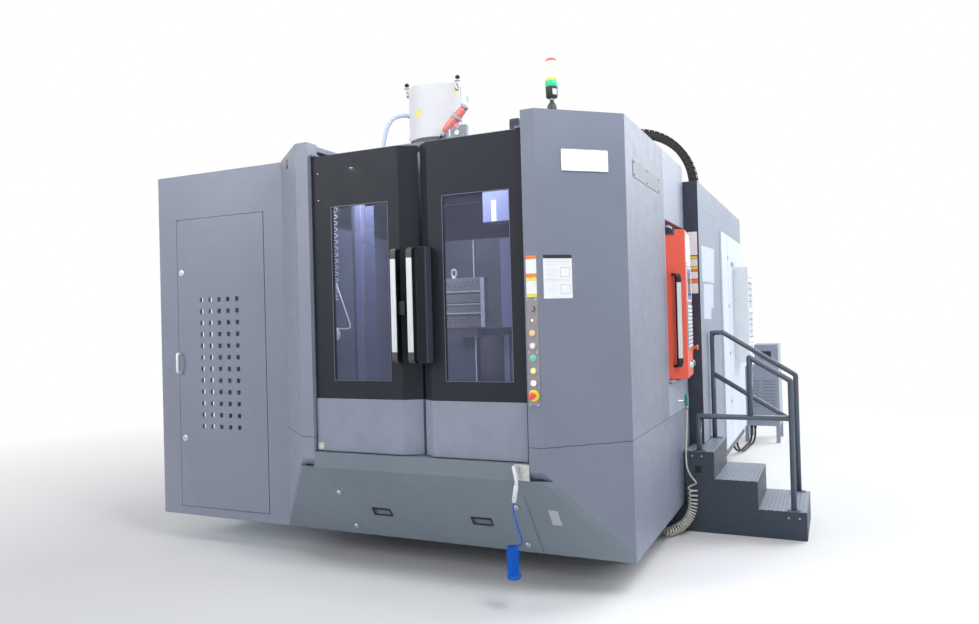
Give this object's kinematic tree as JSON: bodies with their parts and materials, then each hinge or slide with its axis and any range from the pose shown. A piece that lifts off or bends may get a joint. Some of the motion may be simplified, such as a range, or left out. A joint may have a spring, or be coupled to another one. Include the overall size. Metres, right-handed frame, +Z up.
{
  "type": "cnc machining center",
  "caption": "Horizontal machining centre with a front pallet station behind hinged doors, a swinging operator pod, steps with rails and roof-mounted units.",
  "frame": {"origin": "floor point under the vertical axis of the pallet changer", "axes": "+X to the right seen from the front, +Y from the front doors to the rear, +Z up"},
  "size_m": [4.37, 6.557, 3.441],
  "materials": {
    "cover_blue_grey": "fine satin powder coat",
    "side_grey": "fine satin powder coat",
    "apron_grey": "satin powder coat",
    "door_black": "satin",
    "pod_red": "satin",
    "rear_pale": "satin",
    "cabinet_white": "satin",
    "casting": "painted casting",
    "steel": "brushed",
    "bright_steel": "ground",
    "aluminium": "satin",
    "slate": "satin, checker plate treads",
    "rail_dark": "satin",
    "window_glass": "smoked safety glass",
    "collector_green": "satin",
    "red_plastic": "gloss",
    "black_plastic": "matt",
    "orange_cap": "gloss",
    "white_cap": "gloss",
    "teal_cap": "gloss",
    "yellow_cap": "gloss",
    "black_rubber": "matt",
    "blue_hose": "gloss",
    "cream_hose": "gloss",
    "pale_blue_hose": "matt",
    "grey_trim": "satin"
  },
  "bodies": {
    "machine_base": {"base_bed": "casting", "floor_frame": "side_grey", "left_corner_cover": "cover_blue_grey", "left_corner_skirt": "cover_blue_grey", "control_housing": "side_grey", "control_housing_skirt": "side_grey", "front_apron": "apron_grey", "hatch_cover": "apron_grey", "side_panel_rear": "side_grey", "housing_panels": "cover_blue_grey", "station_guards": "steel", "service_fascia": "cover_blue_grey", "service_unit": "cabinet_white", "button_strip": "steel", "rear_housing": "rear_pale", "electrical_cabinet": "cabinet_white", "heat_exchanger": "cabinet_white", "stair_body": "slate", "handrails": "rail_dark", "mist_collector": "collector_green", "power_connector": "red_plastic", "stack_light": "black_plastic", "cable_carrier": "black_plastic", "transformer_cabinet": "cabinet_white", "supply_cables": "black_rubber", "front_air_gun": "grey_trim", "front_hose": "blue_hose", "front_hose_coil": "blue_hose", "side_air_gun": "teal_cap", "side_hose": "cream_hose", "side_hose_coil": "cream_hose", "wash_hose": "black_rubber", "mist_hose": "pale_blue_hose"},
    "left_leaf": {"left_door_skin": "door_black", "left_door_window": "window_glass", "left_door_handle": "steel"},
    "right_leaf": {"right_door_skin": "door_black", "right_door_window": "window_glass", "right_door_handle": "steel"},
    "service_leaf": {"service_door": "cover_blue_grey"},
    "upper_lock": {"upper_door_lock": "steel"},
    "lower_lock": {"lower_door_lock": "steel"},
    "orange_cap": {"orange_button": "orange_cap"},
    "white_cap": {"white_button": "white_cap"},
    "teal_cap": {"teal_button": "teal_cap"},
    "yellow_cap": {"yellow_button": "yellow_cap"},
    "lit_cap": {"lit_button": "white_cap"},
    "strip_stop_head": {"strip_emergency_stop": "red_plastic"},
    "pod": {"pod_shell": "pod_red", "pod_handle": "steel"},
    "pod_stop_head": {"pod_emergency_stop": "red_plastic"},
    "changer_arm": {"pallet_changer": "casting", "pallets": "bright_steel", "fixture_plate": "bright_steel"},
    "saddle": {"table_saddle": "casting"},
    "table_top": {"rotary_table": "bright_steel"},
    "column_slide": {"column": "casting"},
    "head_slide": {"spindle_head": "casting"},
    "spindle_rotor": {"spindle": "bright_steel"},
    "magazine_disc": {"tool_magazine": "aluminium"}
  },
  "joints": [
    {"name": "left_door_hinge", "type": "hinge", "parent": "machine_base", "child": "left_leaf", "pos_m": [-0.684, -1.098, 0], "axis": [0, 0, -1], "range_deg": [0, 90]},
    {"name": "right_door_hinge", "type": "hinge", "parent": "machine_base", "child": "right_leaf", "pos_m": [0.674, -1.098, 0], "axis": [0, 0, 1], "range_deg": [0, 90]},
    {"name": "service_door_hinge", "type": "hinge", "parent": "machine_base", "child": "service_leaf", "pos_m": [-1.393, -0.774, 0], "axis": [0, 0, 1], "range_deg": [0, 110]},
    {"name": "upper_lock_turn", "type": "hinge", "parent": "service_leaf", "child": "upper_lock", "pos_m": [-2.149, -0.785, 1.971], "axis": [0, 1, 0], "range_deg": [0, 90]},
    {"name": "lower_lock_turn", "type": "hinge", "parent": "service_leaf", "child": "lower_lock", "pos_m": [-2.145, -0.785, 0.762], "axis": [0, 1, 0], "range_deg": [0, 90]},
    {"name": "orange_button_press", "type": "slide", "parent": "machine_base", "child": "orange_cap", "axis": [0, 1, 0], "range_m": [0, 0.004], "stiffness_N_per_m": 500},
    {"name": "white_button_press", "type": "slide", "parent": "machine_base", "child": "white_cap", "axis": [0, 1, 0], "range_m": [0, 0.004], "stiffness_N_per_m": 500},
    {"name": "teal_button_press", "type": "slide", "parent": "machine_base", "child": "teal_cap", "axis": [0, 1, 0], "range_m": [0, 0.004], "stiffness_N_per_m": 500},
    {"name": "yellow_button_press", "type": "slide", "parent": "machine_base", "child": "yellow_cap", "axis": [0, 1, 0], "range_m": [0, 0.004], "stiffness_N_per_m": 500},
    {"name": "lit_button_press", "type": "slide", "parent": "machine_base", "child": "lit_cap", "axis": [0, 1, 0], "range_m": [0, 0.004], "stiffness_N_per_m": 500},
    {"name": "strip_stop_press", "type": "slide", "parent": "machine_base", "child": "strip_stop_head", "axis": [0, 1, 0], "range_m": [0, 0.005], "stiffness_N_per_m": 900},
    {"name": "pod_swing", "type": "hinge", "parent": "machine_base", "child": "pod", "pos_m": [1.172, 0.365, 0], "axis": [0, 0, -1], "range_deg": [0, 70]},
    {"name": "pod_stop_press", "type": "slide", "parent": "pod", "child": "pod_stop_head", "axis": [-0.9962, -0.0874, 0], "range_m": [0, 0.005], "stiffness_N_per_m": 900},
    {"name": "changer_turn", "type": "hinge", "parent": "machine_base", "child": "changer_arm", "pos_m": [0, 0, 0], "axis": [0, 0, 1], "range_deg": [0, 180]},
    {"name": "table_travel", "type": "slide", "parent": "machine_base", "child": "saddle", "axis": [0, 1, 0], "range_m": [0, 0.9]},
    {"name": "table_turn", "type": "hinge", "parent": "saddle", "child": "table_top", "pos_m": [0, 0.48, 1.4], "axis": [0, 0, 1], "continuous": true},
    {"name": "column_travel", "type": "slide", "parent": "machine_base", "child": "column_slide", "axis": [1, 0, 0], "range_m": [-0.28, 0.28]},
    {"name": "head_travel", "type": "slide", "parent": "column_slide", "child": "head_slide", "axis": [0, 0, 1], "range_m": [-0.245, 0.315]},
    {"name": "spindle_spin", "type": "hinge", "parent": "head_slide", "child": "spindle_rotor", "pos_m": [0, 1.815, 1.85], "axis": [0, 1, 0], "continuous": true},
    {"name": "magazine_turn", "type": "hinge", "parent": "machine_base", "child": "magazine_disc", "pos_m": [-1.04, 2.515, 1.7], "axis": [1, 0, 0], "continuous": true}
  ]
}
